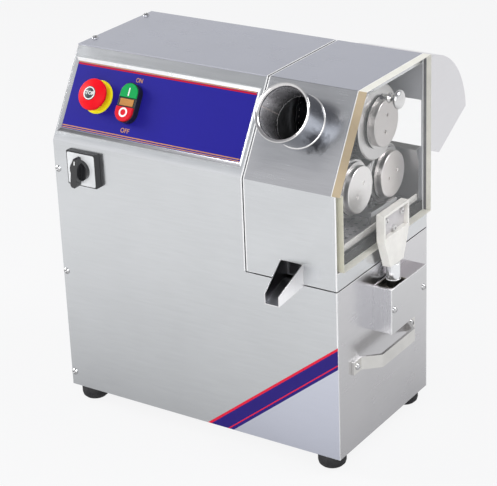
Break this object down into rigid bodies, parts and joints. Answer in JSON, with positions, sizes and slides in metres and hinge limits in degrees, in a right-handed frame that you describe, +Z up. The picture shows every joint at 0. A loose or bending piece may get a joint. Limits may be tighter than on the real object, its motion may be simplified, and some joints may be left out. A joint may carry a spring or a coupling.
{
  "type": "sugarcane juicer",
  "caption": "Electric desktop sugarcane juicer: stainless cabinet, slanted feed tube and control panel, clear lift-off guard over its rollers, juice spout and rear outlet hood.",
  "frame": {"origin": "middle of the cabinet's underside, the plane of the base plate's lower face, which the feet hold 21 mm above the table", "axes": "+X to the right along the front, +Y to the back, +Z up; the front with the feed tube faces -Y"},
  "size_m": [0.4711, 0.4135, 0.5196],
  "materials": {
    "brushed_stainless": "brushed stainless sheet",
    "satin_stainless": "satin stainless",
    "roller_stainless": "turned stainless",
    "plate_steel": "ground steel plate",
    "machined_steel": "machined steel, oiled",
    "cast_pulley": "cast and turned",
    "belt_rubber": "fabric-backed rubber",
    "motor_paint": "satin paint",
    "cast_aluminium": "cast",
    "clear_acrylic": "clear sheet with polished edges",
    "bright_chrome": "polished",
    "black_rubber": "moulded",
    "black_plastic": "moulded",
    "yellow_plastic": "moulded",
    "red_plastic": "moulded",
    "green_plastic": "moulded",
    "white_plastic": "moulded"
  },
  "bodies": {
    "cabinet": {"base_plate": "brushed_stainless", "rubber_feet": "black_rubber", "front_panel": "brushed_stainless", "left_side_panel": "brushed_stainless", "right_side_panel": "brushed_stainless", "back_panel": "brushed_stainless", "top_cover": "brushed_stainless", "roller_housing": "brushed_stainless", "control_panel": "brushed_stainless", "estop_body": "yellow_plastic", "button_body": "black_plastic", "rotary_switch_body": "black_plastic", "feed_tube": "satin_stainless", "juice_spout": "satin_stainless", "juice_tray": "brushed_stainless", "strainer_plate": "brushed_stainless", "roller_scrapers": "brushed_stainless", "bagasse_chute": "brushed_stainless", "outlet_hood": "brushed_stainless", "chamber_plate": "plate_steel", "drive_plate": "plate_steel", "outboard_plate": "plate_steel", "plate_spacers": "plate_steel", "ball_bearings": "machined_steel", "drive_belt": "belt_rubber", "motor_housing": "motor_paint", "reducer_housing": "cast_aluminium", "motor_mount": "brushed_stainless", "contactor": "black_plastic", "cable_gland": "black_plastic", "interlock_box": "brushed_stainless", "carry_handle": "brushed_stainless", "cover_screws": "bright_chrome"},
    "guard": {"guard_plate": "clear_acrylic", "guard_knob": "bright_chrome", "interlock_bracket": "clear_acrylic", "bracket_screws": "bright_chrome", "interlock_post": "bright_chrome"},
    "interlock_plunger": {"switch_plunger": "white_plastic"},
    "top_rolling_set": {"top_shaft": "machined_steel", "top_roller": "roller_stainless", "top_roller_cap": "roller_stainless", "top_roller_gear": "machined_steel", "main_gear": "machined_steel"},
    "front_rolling_set": {"front_shaft": "machined_steel", "front_roller": "roller_stainless", "front_roller_cap": "roller_stainless", "front_roller_gear": "machined_steel"},
    "rear_rolling_set": {"rear_shaft": "machined_steel", "rear_roller": "roller_stainless", "rear_roller_cap": "roller_stainless", "rear_roller_gear": "machined_steel"},
    "countershaft": {"pinion_shaft": "machined_steel", "large_pulley": "cast_pulley"},
    "motor_shaft": {"motor_pulley": "cast_pulley"},
    "estop_stem": {"estop_plunger": "black_plastic"},
    "estop_head": {"estop_mushroom": "red_plastic"},
    "on_key": {"on_button": "green_plastic"},
    "off_key": {"off_button": "red_plastic"},
    "main_switch_knob": {"switch_knob": "black_plastic"}
  },
  "joints": [
    {"name": "guard_lift", "type": "slide", "parent": "cabinet", "child": "guard", "axis": [0, 0, 1], "range_m": [0, 0.24]},
    {"name": "interlock_plunger_press", "type": "slide", "parent": "cabinet", "child": "interlock_plunger", "axis": [0, 0, -1], "range_m": [0, 0.004], "stiffness_N_per_m": 150},
    {"name": "top_roller_spin", "type": "hinge", "parent": "cabinet", "child": "top_rolling_set", "pos_m": [0, 0.036, 0.414], "axis": [1, 0, 0], "continuous": true},
    {"name": "front_roller_spin", "type": "hinge", "parent": "cabinet", "child": "front_rolling_set", "pos_m": [0, -0.01423, 0.33782], "axis": [1, 0, 0], "continuous": true},
    {"name": "rear_roller_spin", "type": "hinge", "parent": "cabinet", "child": "rear_rolling_set", "pos_m": [0, 0.07136, 0.32988], "axis": [1, 0, 0], "continuous": true},
    {"name": "countershaft_spin", "type": "hinge", "parent": "cabinet", "child": "countershaft", "pos_m": [0, 0.02859, 0.32932], "axis": [1, 0, 0], "continuous": true},
    {"name": "motor_shaft_spin", "type": "hinge", "parent": "cabinet", "child": "motor_shaft", "pos_m": [0, -0.004, 0.108], "axis": [1, 0, 0], "continuous": true},
    {"name": "estop_push", "type": "slide", "parent": "cabinet", "child": "estop_stem", "axis": [0, 0.8545, -0.5195], "range_m": [0, 0.005]},
    {"name": "estop_twist", "type": "hinge", "parent": "estop_stem", "child": "estop_head", "pos_m": [-0.166, -0.08367, 0.4281], "axis": [0, 0.8545, -0.5195], "range_deg": [0, 45], "stiffness_Nm_per_rad": 0.05},
    {"name": "on_press", "type": "slide", "parent": "cabinet", "child": "on_key", "axis": [0, 0.8545, -0.5195], "range_m": [0, 0.003], "stiffness_N_per_m": 200},
    {"name": "off_press", "type": "slide", "parent": "cabinet", "child": "off_key", "axis": [0, 0.8545, -0.5195], "range_m": [0, 0.003], "stiffness_N_per_m": 200},
    {"name": "main_switch_turn", "type": "hinge", "parent": "cabinet", "child": "main_switch_knob", "pos_m": [-0.167, -0.119, 0.3395], "axis": [0, 1, 0], "range_deg": [-60, 60]}
  ],
  "couplings": [
    {"joint": "front_roller_spin", "follows": "top_roller_spin", "ratio": -1.2812},
    {"joint": "rear_roller_spin", "follows": "top_roller_spin", "ratio": -1.2812},
    {"joint": "countershaft_spin", "follows": "top_roller_spin", "ratio": -2.7778},
    {"joint": "motor_shaft_spin", "follows": "top_roller_spin", "ratio": -7.2401}
  ]
}
